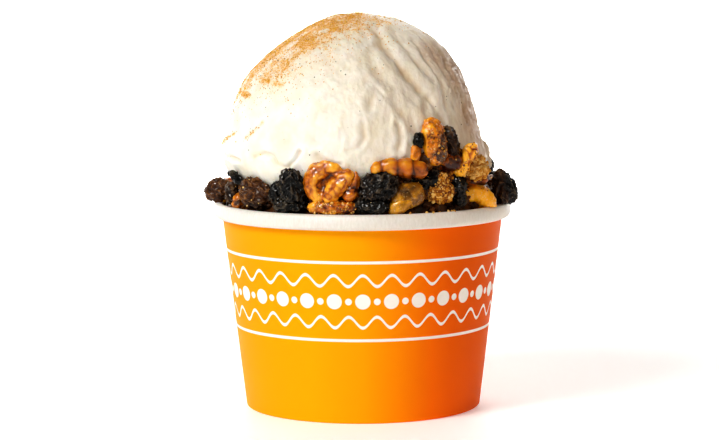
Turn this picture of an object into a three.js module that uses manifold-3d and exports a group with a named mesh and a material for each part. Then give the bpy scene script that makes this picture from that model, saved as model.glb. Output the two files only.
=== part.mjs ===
// Apple walnut cobbler in a paper tub: a round paper cup heaped with glazed walnuts, apple,
// raisins and crumble, under one large scoop of ice cream.
// Millimetres, +Z up. The origin is under the middle of the cup's foot, and the shown side faces -Y.
// Azimuths run round +Z in degrees from +X, so the shown side is at -90.

import * as THREE from 'three';
import { ImprovedNoise } from 'three/addons/math/ImprovedNoise.js';
import { mergeVertices } from 'three/addons/utils/BufferGeometryUtils.js';
import Module from 'manifold-3d';

// Paper cup
const CUP_HEIGHT = 66;
const RIM_RADIUS = 48;
const ROLL_WIDTH = 3.6;
const ROLL_HEIGHT = 4.9;
const WALL_TOP_RADIUS = 44.9;
const FOOT_RADIUS = 37.7;
const FOOT_ROUNDING = 0.9;
const PAPER = 0.6;
const FOOT_FOLD = 1.7;
const FLOOR_LIFT = 6;
const SEAM_WIDTH = 7;
const SEAM_AZIMUTH = 90;
const CUP_COLUMNS = 36;

// Scoop of ice cream
const SCOOP_CENTRE = new THREE.Vector3(-2.5, 0, 83);
const SCOOP_RADIUS = 42;
const SCOOP_BASE = 66.7;
const SCOOP_COLUMNS = 54;
const SCOOP_ROWS = 22;
const FRONT_CROWDING = 0.45;
const LIP_POLAR = 93;
const LIP_HEIGHT = 1.5;
const UNDERCUT = 5.5;
const SCOOP_LUMPS = 0.7;

// Cobbler that fills the cup, with the heap that leans on the scoop
const FILLING_TOP = 66;
const FILLING_EDGE_DROP = 2.6;
const FILLING_LUMPS = 1.1;
const FILLING_COLUMNS = 30;
const UNDER_SCOOP = 1.1;
const HEAP_HEIGHT = 7;
const PEAK_AZIMUTH = -48;
const PEAK_SPREAD = 27;
const PEAK_HEIGHT = 8;

// How deep the waists between a walnut's knuckles are, as a share of its girth
const KNUCKLE_DEPTH = 0.24;

// Clear gap that touching pieces keep
const GAP = 0.32;

const wasm = await Module();
wasm.setup();

const perlin = new ImprovedNoise();
const { degToRad, radToDeg, smoothstep, clamp } = THREE.MathUtils;

// Smooth noise from -1 to 1, a different field for each seed.
function noise(x, y, z, seed) {
  return perlin.noise(x + 17.3 * seed, y - 9.1 * seed, z + 5.7 * seed);
}

// Random numbers from 0 to 1, the same on each run.
function seededRandom(seed) {
  let state = seed;
  return () => {
    state = (state + 0x6d2b79f5) | 0;
    let mixed = Math.imul(state ^ (state >>> 15), 1 | state);
    mixed = (mixed + Math.imul(mixed ^ (mixed >>> 7), 61 | mixed)) ^ mixed;
    return ((mixed ^ (mixed >>> 14)) >>> 0) / 4294967296;
  };
}

function bell(distance, spread) {
  return Math.exp(-((distance / spread) ** 2));
}

// The difference of two azimuths, from -180 to 180.
function azimuthGap(a, b) {
  return ((((a - b) % 360) + 540) % 360) - 180;
}

// A closed geometry as a solid.
function solidOf(geometry) {
  const bare = geometry.clone();
  bare.deleteAttribute('normal');
  bare.deleteAttribute('uv');
  const merged = mergeVertices(bare, 1e-4);
  return new wasm.Manifold(new wasm.Mesh({
    numProp: 3,
    vertProperties: merged.attributes.position.array,
    triVerts: new Uint32Array(merged.index.array),
  }));
}

// A solid as a geometry whose corners are measured from an origin.
function geometryOf(solid, origin) {
  const { vertProperties, triVerts } = solid.getMesh();
  const geometry = new THREE.BufferGeometry();
  geometry.setAttribute('position', new THREE.BufferAttribute(vertProperties, 3));
  geometry.setIndex(new THREE.BufferAttribute(triVerts, 1));
  geometry.translate(-origin.x, -origin.y, -origin.z);
  geometry.computeVertexNormals();
  return geometry;
}

// The largest body of a solid: what a cut leaves beside it is a scrap.
function largestBody(solid) {
  const bodies = solid.decompose();
  return bodies.reduce((a, b) => (a.volume() > b.volume() ? a : b));
}

function boxesMeet(a, b) {
  const first = a.boundingBox();
  const second = b.boundingBox();
  const meetAlong = (axis) => first.min[axis] < second.max[axis] && second.min[axis] < first.max[axis];
  return [0, 1, 2].every(meetAlong);
}

// Each corner of a geometry is moved by a function.
function reshape(geometry, move) {
  const corners = geometry.attributes.position;
  const corner = new THREE.Vector3();
  for (let i = 0; i < corners.count; i++) {
    corner.fromBufferAttribute(corners, i);
    move(corner);
    corners.setXYZ(i, corner.x, corner.y, corner.z);
  }
  return geometry;
}

// A profile of radius and height turned round +Z.
function turned(profile, columns) {
  return new THREE.LatheGeometry(profile, columns).rotateX(Math.PI / 2);
}

// Paper cup

const rollMiddle = new THREE.Vector2(RIM_RADIUS - ROLL_WIDTH / 2, CUP_HEIGHT - ROLL_HEIGHT / 2);

function wallRadius(height) {
  const wallTop = CUP_HEIGHT - ROLL_HEIGHT;
  return FOOT_RADIUS + (WALL_TOP_RADIUS - FOOT_RADIUS) * (height / wallTop);
}

function innerRadius(height) {
  return wallRadius(height) - PAPER;
}

// Points along an elliptical arc, its angles in degrees.
function arc(middle, halfWidth, halfHeight, from, to, steps) {
  return Array.from({ length: steps + 1 }, (_, i) => {
    const turn = degToRad(from + ((to - from) * i) / steps);
    return new THREE.Vector2(middle.x + halfWidth * Math.cos(turn), middle.y + halfHeight * Math.sin(turn));
  });
}

function points(...pairs) {
  return pairs.map(([radius, height]) => new THREE.Vector2(radius, height));
}

// Wall, rolled rim and the folded foot that grips the floor disc, with the lapped seam behind.
function cupWall() {
  const footMiddle = new THREE.Vector2(FOOT_RADIUS - FOOT_ROUNDING, FOOT_ROUNDING);
  const profile = [
    ...points([FOOT_RADIUS - FOOT_FOLD, 0]),
    ...arc(footMiddle, FOOT_ROUNDING, FOOT_ROUNDING, -90, 0, 2),
    ...arc(rollMiddle, ROLL_WIDTH / 2, ROLL_HEIGHT / 2, -132, 180, 9),
    ...points([innerRadius(FLOOR_LIFT), FLOOR_LIFT]),
    ...points([wallRadius(FLOOR_LIFT) - FOOT_FOLD, FLOOR_LIFT - PAPER / 2]),
    ...points([FOOT_RADIUS - FOOT_FOLD, 0]),
  ];
  return solidOf(turned(profile, CUP_COLUMNS)).add(lapSeam());
}

// The strip where the two ends of the wall's paper overlap.
function lapSeam() {
  const low = 0.5;
  const top = CUP_HEIGHT - ROLL_HEIGHT + 0.4;
  const proud = PAPER * 0.7;
  const sunk = PAPER / 2;
  const ring = points(
    [wallRadius(low) - sunk, low],
    [wallRadius(low) + proud, low],
    [wallRadius(top) + proud, top],
    [wallRadius(top) - sunk, top],
    [wallRadius(low) - sunk, low],
  );
  const strip = new THREE.BoxGeometry(RIM_RADIUS, SEAM_WIDTH, CUP_HEIGHT);
  strip.translate(RIM_RADIUS / 2 + 10, 0, CUP_HEIGHT / 2).rotateZ(degToRad(SEAM_AZIMUTH));
  return solidOf(turned(ring, CUP_COLUMNS)).intersect(solidOf(strip));
}

// The disc that the foot grips.
function cupFloor() {
  const low = FLOOR_LIFT + GAP;
  const high = low + PAPER;
  const edge = innerRadius(low) - GAP;
  return solidOf(turned(points([0, low], [edge, low], [edge, high], [0, high]), CUP_COLUMNS));
}

// All the space that a topping must stay out of: the cup, and whatever lies outside its wall.
function cupAndOutside() {
  const far = 90;
  const low = -5;
  const profile = [
    ...points([innerRadius(0) - GAP, low], [far, low], [far, CUP_HEIGHT + GAP]),
    ...arc(rollMiddle, ROLL_WIDTH / 2 + GAP, ROLL_HEIGHT / 2 + GAP, 90, 180, 5),
    ...points([innerRadius(0) - GAP, low]),
  ];
  return solidOf(turned(profile, CUP_COLUMNS));
}

// Scoop

// Broad swells and hollows: azimuth and polar angle of the middle, spread in degrees, height in mm.
const SCOOP_SWELLS = [
  { azimuth: 0, polar: 4, spread: 24, height: 1.2 },
  { azimuth: 180, polar: 44, spread: 20, height: -1.3 },
  { azimuth: 180, polar: 86, spread: 24, height: -0.9 },
  { azimuth: 180, polar: 22, spread: 14, height: -0.8 },
  { azimuth: 0, polar: 37, spread: 12, height: 1.2 },
  { azimuth: 0, polar: 67, spread: 10, height: -0.5 },
  { azimuth: 0, polar: 76, spread: 15, height: -2.3 },
  { azimuth: 0, polar: 93, spread: 9, height: -0.8 },
  { azimuth: -90, polar: 55, spread: 22, height: 0.6 },
  { azimuth: -88, polar: 51, spread: 7, height: 0.7 },
  { azimuth: -150, polar: 92, spread: 13, height: 0.9 },
  { azimuth: -118, polar: 82, spread: 9, height: 0.5 },
  { azimuth: -22, polar: 92, spread: 7, height: 2.4 },
  { azimuth: -15, polar: 64, spread: 4, height: 0.9 },
  { azimuth: 70, polar: 50, spread: 20, height: -1.2 },
  { azimuth: 120, polar: 75, spread: 18, height: 0.8 },
];

// Furrows that the scoop's edge dragged: azimuth and polar angle along each, half width and depth in mm.
const SCOOP_FURROWS = [
  { route: [[-64, 25], [-66, 40], [-61, 54], [-56, 66]], half: 2.3, depth: 1.3 },
  { route: [[-78, 34], [-82, 44], [-76, 56]], half: 2.2, depth: 0.8 },
  { route: [[-45, 27], [-51, 42], [-50, 52]], half: 2.0, depth: 0.8 },
  { route: [[-71, 59], [-65, 68], [-63, 76]], half: 1.9, depth: 0.8 },
  { route: [[-50, 64], [-46, 78]], half: 2.0, depth: 0.8 },
  { route: [[-90, 76], [-88, 90]], half: 1.8, depth: 0.6 },
  { route: [[-172, 91], [-153, 92], [-145, 92]], half: 1.8, depth: 0.8 },
  { route: [[-136, 90], [-127, 90], [-119, 94], [-114, 88]], half: 1.8, depth: 0.9 },
  { route: [[24, 30], [34, 48], [30, 70]], half: 2.8, depth: 1.0 },
  { route: [[62, 28], [78, 50], [84, 78]], half: 3.2, depth: 1.2 },
  { route: [[118, 35], [128, 58], [122, 84]], half: 3.2, depth: 1.1 },
  { route: [[150, 60], [160, 86]], half: 3.0, depth: 0.9 },
];

function direction(azimuth, polar) {
  return new THREE.Vector3().setFromSphericalCoords(1, degToRad(polar), 0).applyMatrix4(
    new THREE.Matrix4().makeRotationX(Math.PI / 2),
  ).applyAxisAngle(new THREE.Vector3(0, 0, 1), degToRad(azimuth + 90));
}

// The swells' middles and the furrows' routes as directions from the scoop's centre.
const swells = SCOOP_SWELLS.map(({ azimuth, polar, spread, height }) => ({
  middle: direction(azimuth, polar),
  spread,
  height,
}));
const furrowRoutes = SCOOP_FURROWS.map(({ route, half, depth }) => ({
  corners: route.map(([azimuth, polar]) => direction(azimuth, polar)),
  half,
  depth,
}));

// How far a direction passes from a route, in mm on the scoop's surface.
function distanceToRoute(way, corners) {
  const leg = new THREE.Line3();
  const nearest = new THREE.Vector3();
  let least = Infinity;
  for (let i = 1; i < corners.length; i++) {
    leg.set(corners[i - 1], corners[i]).closestPointToPoint(way, true, nearest);
    least = Math.min(least, nearest.distanceTo(way) * SCOOP_RADIUS);
  }
  return least;
}

// The distance from the scoop's centre to its surface along a direction.
function scoopReach(way, furrowed = true) {
  const polar = radToDeg(Math.acos(clamp(way.z, -1, 1)));
  const azimuth = radToDeg(Math.atan2(way.y, way.x));
  let reach = SCOOP_RADIUS;
  for (const { middle, spread, height } of swells) {
    reach += height * bell(radToDeg(way.angleTo(middle)), spread);
  }
  for (const furrow of furrowed ? furrowRoutes : []) {
    reach -= furrow.depth * bell(distanceToRoute(way, furrow.corners), furrow.half);
  }
  const lipWave = 3 * Math.sin(degToRad(3 * azimuth + 40));
  reach += LIP_HEIGHT * bell(polar - LIP_POLAR - lipWave, 6);
  reach -= UNDERCUT * smoothstep(polar, LIP_POLAR + 3, LIP_POLAR + 27);
  reach += SCOOP_LUMPS * noise(way.x * 3.1, way.y * 3.1, way.z * 3.1, 4);
  return reach;
}

// Columns crowd towards the shown side, where the furrows are.
function scoop(grow, { columns = SCOOP_COLUMNS, rows = SCOOP_ROWS, furrowed = true } = {}) {
  const lowest = Math.acos((SCOOP_BASE - SCOOP_CENTRE.z) / (SCOOP_RADIUS - UNDERCUT));
  const profile = points([0, Math.cos(lowest)]);
  for (let row = rows; row >= 0; row--) {
    const polar = (lowest * row) / rows;
    profile.push(new THREE.Vector2(row === 0 ? 0 : Math.sin(polar), Math.cos(polar)));
  }
  const surface = turned(profile, columns);
  const base = SCOOP_BASE - SCOOP_CENTRE.z - grow;
  reshape(surface, (corner) => {
    const across = Math.hypot(corner.x, corner.y);
    if (across < 1e-6 && corner.z < 0) {
      corner.set(0, 0, base);
      return;
    }
    const even = Math.atan2(corner.y, corner.x);
    const azimuth = even - FRONT_CROWDING * Math.sin(even + Math.PI / 2);
    corner.set(across * Math.cos(azimuth), across * Math.sin(azimuth), corner.z).normalize();
    corner.multiplyScalar(scoopReach(corner, furrowed) + grow);
    corner.z = Math.max(corner.z, base);
  });
  surface.translate(SCOOP_CENTRE.x, SCOOP_CENTRE.y, SCOOP_CENTRE.z);
  return solidOf(surface);
}

// The height of the scoop's overhanging underside over a place, or Infinity beyond its lip.
function scoopUnderside(x, y) {
  const away = Math.hypot(x - SCOOP_CENTRE.x, y - SCOOP_CENTRE.y);
  const azimuth = radToDeg(Math.atan2(y - SCOOP_CENTRE.y, x - SCOOP_CENTRE.x));
  for (let polar = 125; polar > LIP_POLAR; polar -= 1) {
    const way = direction(azimuth, polar);
    const surface = way.clone().multiplyScalar(scoopReach(way));
    if (Math.hypot(surface.x, surface.y) > away) return Math.max(surface.z + SCOOP_CENTRE.z, SCOOP_BASE);
  }
  return Infinity;
}

// Cobbler filling

function fillingTop(x, y) {
  const fromScoop = Math.hypot(x - SCOOP_CENTRE.x, y - SCOOP_CENTRE.y);
  const fromAxis = Math.hypot(x, y);
  const azimuth = radToDeg(Math.atan2(y, x));
  const outside = smoothstep(fromScoop, 31, 36);
  const edge = smoothstep(fromAxis, 37, 44);
  const peak = PEAK_HEIGHT * bell(azimuthGap(azimuth, PEAK_AZIMUTH), PEAK_SPREAD);
  const heap = (HEAP_HEIGHT + peak) * (1 - smoothstep(fromAxis, 39.5, 44.2));
  const lumps = FILLING_LUMPS * noise(x * 0.16, y * 0.16, 0, 2);
  const free = FILLING_TOP + outside * (lumps + heap) - FILLING_EDGE_DROP * edge;
  return Math.min(free, scoopUnderside(x, y) - UNDER_SCOOP);
}

function filling(grow) {
  const low = FLOOR_LIFT + PAPER + 2 * GAP;
  const rings = [43, 42, 41, 40, 38.6, 37, 34.5, 31.5, 28];
  const edge = innerRadius(CUP_HEIGHT - ROLL_HEIGHT) - GAP + grow;
  const profile = [
    ...points([0, low], [innerRadius(low) - GAP + grow, low]),
    ...[edge, ...rings, 0].map((radius) => new THREE.Vector2(radius, FILLING_TOP)),
  ];
  const body = reshape(turned(profile, FILLING_COLUMNS), (corner) => {
    if (corner.z > low + 1) corner.z = fillingTop(corner.x, corner.y) + grow;
  });
  return solidOf(body);
}

// Toppings

// A rounded body along x, as fat as asked, and bent upwards or downwards about its middle. Knuckles
// are beads along it, a cleft is a groove along its outer side, and a taper makes its end at +x thinner.
function lobe(form, grow) {
  const {
    length, tall, deep, bend = 0, fullness = 0.75, wrinkle = 0, grain = 1.8, knuckles = 1, cleft = 0,
    taper = 0, seed = 0, columns = 8, rows = 6,
  } = form;
  const ball = new THREE.SphereGeometry(1, columns, rows).rotateZ(-Math.PI / 2);
  return reshape(ball, (corner) => {
    const ridge = 1 - 2.4 * Math.abs(noise(corner.x * grain, corner.y * grain, corner.z * grain, seed));
    const extra = grow + wrinkle * ridge;
    const section = Math.hypot(corner.y, corner.z);
    const bead = Math.abs(Math.sin((Math.PI * knuckles * (corner.x + 1)) / 2));
    const waist = knuckles > 1 ? 1 - KNUCKLE_DEPTH * (1 - bead) : 1;
    const split = 1 - cleft * bell(radToDeg(Math.atan2(corner.y, corner.z)), 30);
    const thinned = 1 - taper * corner.x;
    const girth = section > 1e-6 ? section ** (fullness - 1) * waist * split * thinned : 0;
    const along = corner.x * (length / 2 + extra);
    const up = corner.y * girth * (tall / 2 + extra);
    corner.z *= girth * (deep / 2 + extra);
    if (bend === 0) {
      corner.x = along;
      corner.y = up;
      return;
    }
    const radius = length / degToRad(bend);
    corner.x = (radius + up) * Math.sin(along / radius);
    corner.y = (radius + up) * Math.cos(along / radius) - radius;
  });
}

function raisinLobes({ size: [across, tall, deep], taper, seed }, grow) {
  const large = tall > 7 || across > 9;
  const wrinkle = Math.min(0.55, tall * 0.07);
  const form = { fullness: 0.6, wrinkle, taper, seed, columns: large ? 7 : 6, rows: large ? 6 : 5 };
  return [lobe({ length: across, tall, deep, ...form }, grow)];
}

function appleLobes({ size: [across, tall, deep], bend = 0, taper, seed }, grow) {
  const detail = { columns: across > 7 ? 7 : 6, rows: bend === 0 ? 6 : 8 };
  const form = { bend, fullness: 0.55, wrinkle: 0.25, taper, seed, ...detail };
  return [lobe({ length: across, tall, deep, ...form }, grow)];
}

// A broken walnut half: a row of knuckles, with the cleft between its two sides where it is broad.
function walnutLobes(topping, grow) {
  const { size: [across, tall, deep], knuckles = 3, bend = 0, curled = false, seed } = topping;
  if (curled) return curledWalnutLobes(topping, grow);
  const broad = tall > 6.5;
  const detail = { columns: broad ? 8 : 6, rows: 2 * knuckles + 2 };
  const form = { knuckles, bend, fullness: 0.6, wrinkle: 0.25, cleft: broad ? 0.3 : 0, seed, ...detail };
  return [lobe({ length: across, tall, deep, ...form }, grow)];
}

// A clump of crumble, knobbly all over. A peaked one has a smaller knob on top.
function crumbleLobes({ size: [across, tall, deep], peaked = false, seed }, grow) {
  const form = { fullness: 0.65, wrinkle: 0.9, grain: 2.9, seed, columns: 7, rows: 5 };
  const clump = lobe({ length: across, tall: peaked ? tall * 0.66 : tall, deep, ...form }, grow);
  if (!peaked) return [clump];
  clump.translate(0, -tall * 0.17, 0);
  const small = { length: across * 0.78, tall: tall * 0.54, deep: deep * 0.85, columns: 6, rows: 4 };
  const knob = lobe(small, grow).rotateZ(degToRad(-20)).translate(0, tall * 0.22, 0);
  return [clump, knob];
}

// The walnut half at the middle of the shown side: one fat fold curls round the other.
function curledWalnutLobes({ size: [across, tall, deep] }, grow) {
  const look = { tall: tall * 0.43, fullness: 0.6, wrinkle: 0.25, columns: 7 };
  const bend = 225;
  const curlRadius = tall * 0.385;
  const curlLength = curlRadius * degToRad(bend);
  const curl = lobe({ ...look, length: curlLength, deep: deep * 0.85, bend, seed: 3, rows: 11 }, grow);
  curl.translate(0, curlRadius, 0).rotateZ(degToRad(52)).translate(-across * 0.03, 0, 0);
  const bar = lobe({ ...look, length: across * 0.88, deep: deep * 0.95, bend: 25, seed: 6, rows: 6 }, grow);
  bar.rotateZ(degToRad(47)).translate(across * 0.18, -tall * 0.03, deep * 0.08);
  const web = { length: across * 0.8, tall: tall * 0.72, deep: deep * 0.55, columns: 7, rows: 4 };
  const back = lobe(web, grow).translate(0, 0, -deep * 0.14);
  return [curl, bar, back];
}

// Each topping's name begins with its kind.
const KINDS = {
  raisin: { lobesOf: raisinLobes, colour: '#2a1a12' },
  apple: { lobesOf: appleLobes, colour: '#b9761c' },
  walnut: { lobesOf: walnutLobes, colour: '#a8631a' },
  crumble: { lobesOf: crumbleLobes, colour: '#b98a4a' },
};

function kindOf(name) {
  return name.split('_')[0];
}

// Where each shown topping lies: azimuth round the cup's axis, reach from it and height, with the size
// across, tall and deep as seen from outside, and its roll counter-clockwise as seen from there.
const SHOWN_TOPPINGS = [
  { name: 'walnut_curled', at: [-103.4, 43.2, 75.2], size: [14.3, 12.6, 7], curled: true },
  { name: 'raisin_centre', at: [-83.6, 43.2, 74.2], size: [10.4, 9.7, 8], roll: 20 },
  { name: 'walnut_long', at: [-75, 43.4, 80], size: [18, 5.8, 6], knuckles: 4, bend: 30, roll: -2 },
  { name: 'apple_standing', at: [-59.2, 42.6, 87.4], size: [14.6, 7.8, 6.4], roll: 95, taper: 0.12 },
  { name: 'apple_bright', at: [-33.4, 44, 70], size: [13.4, 5.6, 7], bend: 150, roll: -27 },
  { name: 'raisin_brown', at: [-139, 43.2, 71.2], size: [10.4, 9.8, 8], roll: -25 },
  { name: 'raisin_dark', at: [-118.2, 45, 74.2], size: [9.8, 7, 6.4], roll: 96 },
  { name: 'raisin_right', at: [-18.4, 46.9, 71.6], size: [11.6, 7.4, 6], roll: 114, taper: 0.3 },
  { name: 'walnut_right', at: [-44.6, 45, 81.4], size: [11.6, 5.4, 6], knuckles: 2, roll: 61 },
  { name: 'crumble_front', at: [-56.4, 43.2, 73], size: [6.8, 9.6, 6.6], peaked: true },
  { name: 'apple_olive', at: [-71.6, 43, 71.2], size: [10.6, 8, 7], roll: 15 },
  { name: 'apple_low', at: [-75, 44.2, 68.2], size: [7.6, 4.4, 5], roll: 25 },
  { name: 'crumble_right', at: [-37.4, 44.6, 78.8], size: [6.8, 7.6, 6], peaked: true },
  { name: 'walnut_fold', at: [-94.4, 42.8, 74.4], size: [10.4, 5, 6], knuckles: 2, roll: 80 },
  { name: 'raisin_far_left', at: [-175, 46.2, 69.8], size: [8.2, 7, 6.4], roll: 20 },
  { name: 'raisin_stem_left', at: [-150.2, 45.2, 75.6], size: [5.2, 3.2, 3.6], roll: -42 },
  { name: 'raisin_low_left', at: [-156, 44, 70.4], size: [6, 4.8, 5.4], roll: 90 },
  { name: 'apple_bit_left', at: [-152, 43.8, 67.8], size: [4.8, 3.4, 4], roll: 75 },
  { name: 'raisin_small', at: [-127, 43.4, 72], size: [6.2, 4.4, 5], roll: 80 },
  { name: 'raisin_low', at: [-119.6, 43.8, 68.2], size: [10.2, 4.6, 5.2] },
  { name: 'walnut_low', at: [-102, 43.8, 68], size: [15, 4.8, 5.2], knuckles: 3 },
  { name: 'raisin_low_centre', at: [-86, 43.8, 68.5], size: [10, 4.6, 5.2] },
  { name: 'raisin_behind', at: [-50.4, 42.4, 86.9], size: [9.4, 4.4, 5], roll: 107 },
  { name: 'apple_small', at: [-67.6, 42.6, 84], size: [5.4, 3.4, 4.4], roll: 75 },
  { name: 'raisin_bit', at: [-66.4, 43, 88], size: [4.4, 2.9, 3.6], roll: 85 },
  { name: 'walnut_gap', at: [-50.8, 43, 80.6], size: [7, 5.6, 5.4], knuckles: 2 },
  { name: 'raisin_strip', at: [-46, 42.6, 71.8], size: [10.6, 4.2, 5.4], roll: 90 },
  { name: 'walnut_brown', at: [-35.1, 43.8, 75], size: [7.4, 4.4, 5.4], knuckles: 2 },
  { name: 'raisin_between', at: [-60.5, 42.6, 75.4], size: [7.4, 5, 5], roll: 15 },
  { name: 'crumble_heap', at: [-50, 40.8, 79], size: [18, 13, 4.6] },
];

// Round the hidden side the same mix goes on, in a lower and an upper row that rise towards the back.
const HIDDEN_ROWS = [
  { from: 1, to: 166, pieces: 12, height: 69, rise: 1.2, reach: 43, fat: 9 },
  { from: 28, to: 144, pieces: 9, height: 75, rise: 1.6, reach: 44.2, fat: 9 },
];
const HIDDEN_MIX = ['walnut', 'raisin', 'apple', 'raisin', 'walnut', 'crumble', 'raisin'];

function hiddenToppings() {
  const random = seededRandom(2024);
  const counts = {};
  return HIDDEN_ROWS.flatMap(({ from, to, pieces, height, rise, reach, fat }, row) => (
    Array.from({ length: pieces }, (_, i) => {
      const kind = HIDDEN_MIX[(i + 3 * row) % HIDDEN_MIX.length];
      counts[kind] = (counts[kind] || 0) + 1;
      const along = i / (pieces - 1);
      const azimuth = from + (to - from) * along + (random() - 0.5) * 4;
      const level = height + rise * Math.sin(Math.PI * along);
      const lean = SCOOP_CENTRE.x * Math.cos(degToRad(azimuth)) * 0.5;
      return {
        name: `${kind}_back_${counts[kind]}`,
        at: [azimuth, reach + lean + (random() - 0.5) * 0.8, level + (random() - 0.5) * 2],
        size: [fat * (1.2 + 0.2 * random()), fat * (0.8 + 0.2 * random()), fat * (0.8 + 0.2 * random())],
        roll: (random() - 0.5) * 40,
        bend: kind === 'apple' ? 60 : 0,
      };
    })
  ));
}

// A topping's solid where it lies. Shown ones face halfway between the shown side and straight out.
function toppingSolid(topping, grow) {
  const { name, at: [azimuth, reach, height], roll = 0, facing } = topping;
  const outward = direction(facing, 90);
  const across = new THREE.Vector3(-outward.y, outward.x, 0);
  const pose = new THREE.Matrix4().makeBasis(across, new THREE.Vector3(0, 0, 1), outward);
  pose.setPosition(direction(azimuth, 90).multiplyScalar(reach).setZ(height));
  pose.multiply(new THREE.Matrix4().makeRotationZ(degToRad(roll)));
  return KINDS[kindOf(name)].lobesOf(topping, grow)
    .map((part) => solidOf(part.applyMatrix4(pose)))
    .reduce((whole, part) => whole.add(part));
}

// Assembly

const object = new THREE.Group();

function place(name, solid, { colour, roughness }, origin = new THREE.Vector3()) {
  const material = new THREE.MeshStandardMaterial({ color: colour, roughness, metalness: 0 });
  const mesh = new THREE.Mesh(geometryOf(solid, origin), material);
  mesh.name = name;
  mesh.position.copy(origin);
  object.add(mesh);
}

place('cup_wall', cupWall(), { colour: '#fba10a', roughness: 0.5 });
place('cup_floor', cupFloor(), { colour: '#f3efe6', roughness: 0.6 });
place('scoop', scoop(0), { colour: '#f5eed8', roughness: 0.55 });
place('filling', filling(0), { colour: '#5d3412', roughness: 0.4 });

// Each topping gives way to the scoop, the filling, the cup and the toppings before it.
const scoopBounds = scoop(2.8 * GAP, { columns: 44, rows: 18, furrowed: false });
const taken = [scoopBounds, filling(2 * GAP), cupAndOutside()];
const shown = SHOWN_TOPPINGS.map((topping) => ({ ...topping, facing: (topping.at[0] - 90) / 2 }));
const hidden = hiddenToppings().map((topping) => ({ ...topping, facing: topping.at[0] }));
[...shown, ...hidden].forEach((topping, index) => {
  const seeded = { ...topping, seed: index + 1 };
  const whole = toppingSolid(seeded, 0);
  const near = taken.filter((other) => boxesMeet(other, whole));
  const piece = near.reduce((rest, other) => rest.subtract(other), whole);
  const [azimuth, reach, height] = topping.at;
  const middle = direction(azimuth, 90).multiplyScalar(reach).setZ(height);
  const { colour } = KINDS[kindOf(topping.name)];
  place(topping.name, largestBody(piece), { colour, roughness: 0.35 }, middle);
  taken.push(toppingSolid(seeded, GAP));
});

export default object;
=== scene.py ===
import itertools
import math

import bmesh
import bpy
import numpy as np
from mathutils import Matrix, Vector
from mathutils.bvhtree import BVHTree


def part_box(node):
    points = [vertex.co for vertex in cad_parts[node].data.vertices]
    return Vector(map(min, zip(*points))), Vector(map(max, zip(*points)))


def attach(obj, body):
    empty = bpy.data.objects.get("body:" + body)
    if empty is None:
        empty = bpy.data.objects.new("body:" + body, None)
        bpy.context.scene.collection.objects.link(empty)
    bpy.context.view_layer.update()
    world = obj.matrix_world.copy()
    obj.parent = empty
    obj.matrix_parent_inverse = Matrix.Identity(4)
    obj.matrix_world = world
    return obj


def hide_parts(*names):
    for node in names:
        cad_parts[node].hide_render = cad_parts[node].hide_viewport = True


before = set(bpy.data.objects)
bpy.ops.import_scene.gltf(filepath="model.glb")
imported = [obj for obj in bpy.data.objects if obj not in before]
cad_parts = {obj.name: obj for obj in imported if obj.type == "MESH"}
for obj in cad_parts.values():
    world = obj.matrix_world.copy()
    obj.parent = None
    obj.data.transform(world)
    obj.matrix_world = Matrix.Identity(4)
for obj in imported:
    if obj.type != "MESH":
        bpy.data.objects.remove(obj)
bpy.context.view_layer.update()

MM = 0.001

# Paper tub
CUP_HEIGHT = 66.0
RIM_RADIUS = 48.0
ROLL_WIDTH = 3.6
ROLL_HEIGHT = 4.9
WALL_TOP_RADIUS = 44.9
FOOT_RADIUS = 37.7
FOOT_FOLD = 1.7
FOOT_ROUNDING = 0.9
PAPER = 0.6
SEAM_AZIMUTH = 90.0
SEAM_WIDTH = 7.0
CUP_COLUMNS = 264

# Scoop
SCOOP_CENTRE = np.array([-2.5, 0.0, 83.0])
SCOOP_RADIUS = 42.0
SCOOP_COLUMNS = 392
SCOOP_ROWS = 228
FRONT_CROWDING = 0.45

# Cobbler filling, shown only round the scoop
FILLING_COLUMNS = 420
FILLING_ROWS = 64
FILLING_INNER = 27.0
FILLING_GAP = 0.45

# Camera that the photo was taken with
CAMERA_AWAY = 800.0
CAMERA_SIDE = -0.475
CAMERA_HEIGHT = 145.2
CAMERA_PITCH = 0.1067
CAMERA_ROLL = 0.0052
CAMERA_FOCAL_PIXELS = 2501.2
PHOTO_WIDTH = 719


# Numbers


def scramble(cells, seed):
    """A repeatable whole number for each cell of a lattice."""
    x, y, z = (cells[..., axis].astype(np.uint64) for axis in range(3))
    mixed = x * np.uint64(0x9E3779B97F4A7C15) + y * np.uint64(0xC2B2AE3D27D4EB4F)
    mixed += z * np.uint64(0x165667B19E3779F9) + np.uint64(seed * 7919 + 1)
    for shift in (29, 32, 31):
        mixed ^= mixed >> np.uint64(shift)
        mixed *= np.uint64(0xBF58476D1CE4E5B9)
    return mixed


def noise(points, seed=0):
    """Smooth noise from about -1 to 1 at each point, its lumps about one unit across."""
    base = np.floor(points).astype(np.int64)
    part = points - base
    fade = part**3 * (part * (part * 6 - 15) + 10)
    total = np.zeros(len(points))
    for step in itertools.product((0, 1), repeat=3):
        step = np.array(step)
        code = scramble(base + step, seed)
        fields = [(code >> np.uint64(shift)) & np.uint64(1023) for shift in (8, 24, 40)]
        slope = np.stack(fields, axis=1).astype(float) / 511.5 - 1
        weight = np.prod(np.where(step == 1, fade, 1 - fade), axis=1)
        total += weight * (slope * (part - step)).sum(1)
    return total * 1.6


def layered(points, seed, octaves=3):
    """Noise with finer and fainter noise on it."""
    return sum(noise(points * 2.0**i, seed + i) * 0.5**i for i in range(octaves))


def ridged(points, seed):
    """From 0 in round hollows up to 1 along sharp ridges."""
    return 1 - np.abs(np.clip(noise(points, seed) * 1.8, -1, 1))


def smoothstep(value, low, high):
    share = np.clip((value - low) / (high - low), 0, 1)
    return share * share * (3 - 2 * share)


def bell(distance, spread):
    return np.exp(-((distance / spread) ** 2))


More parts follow.
